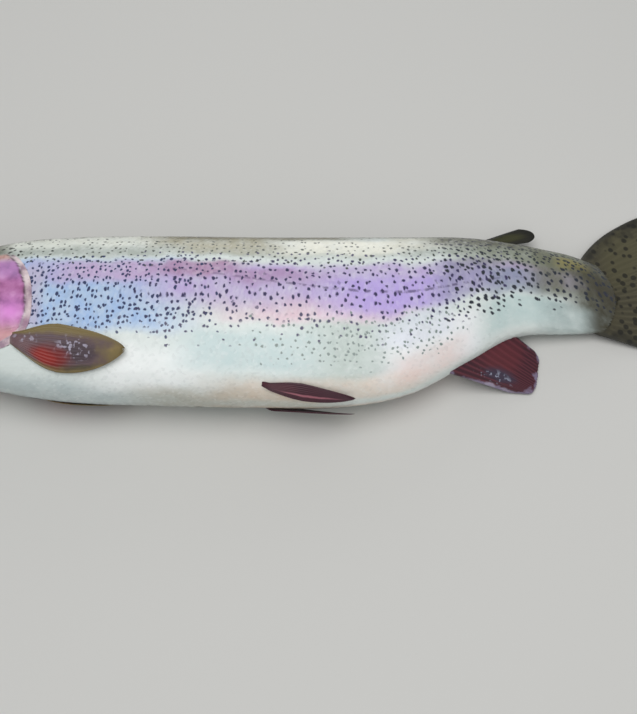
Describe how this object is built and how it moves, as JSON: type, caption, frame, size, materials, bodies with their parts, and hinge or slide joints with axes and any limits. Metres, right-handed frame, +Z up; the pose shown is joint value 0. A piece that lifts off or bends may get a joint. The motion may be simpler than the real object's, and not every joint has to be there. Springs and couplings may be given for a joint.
{
  "type": "rainbow trout",
  "caption": "Still life-size model of a rainbow trout lying limp on its right side, mouth closed, back fin folded, tail fin spread, on small flats of its lower flank.",
  "frame": {"origin": "on the floor under the middle of the fish's outline, fins included", "axes": "+X from the snout to the tail, +Y from the belly to the back, +Z up, out of the fish's left flank"},
  "size_m": [0.5108, 0.1602, 0.0567],
  "materials": {
    "skin": "wet scaled skin, silvery with a spotted olive back and a pink band",
    "gill_cover": "wet skin over bone, pink",
    "eye": "clear gloss over a silvery gold iris and a black pupil",
    "olive_fin": "wet ribbed membrane, dark olive with spots",
    "maroon_fin": "wet ribbed membrane, dark maroon",
    "brown_fin": "wet ribbed membrane, olive brown with a red patch"
  },
  "bodies": {
    "root": {"head": "skin", "lower_jaw": "skin", "maxilla_left": "skin", "maxilla_right": "skin", "gill_cover_left": "gill_cover", "gill_cover_right": "gill_cover", "eye_left": "eye", "eye_right": "eye", "trunk": "skin", "tail_stalk": "skin", "dorsal_fin": "olive_fin", "adipose_fin": "olive_fin", "caudal_fin": "olive_fin", "anal_fin": "maroon_fin", "pelvic_fin_left": "maroon_fin", "pelvic_fin_right": "maroon_fin", "pectoral_fin_left": "brown_fin", "pectoral_fin_right": "brown_fin"}
  },
  "joints": []
}
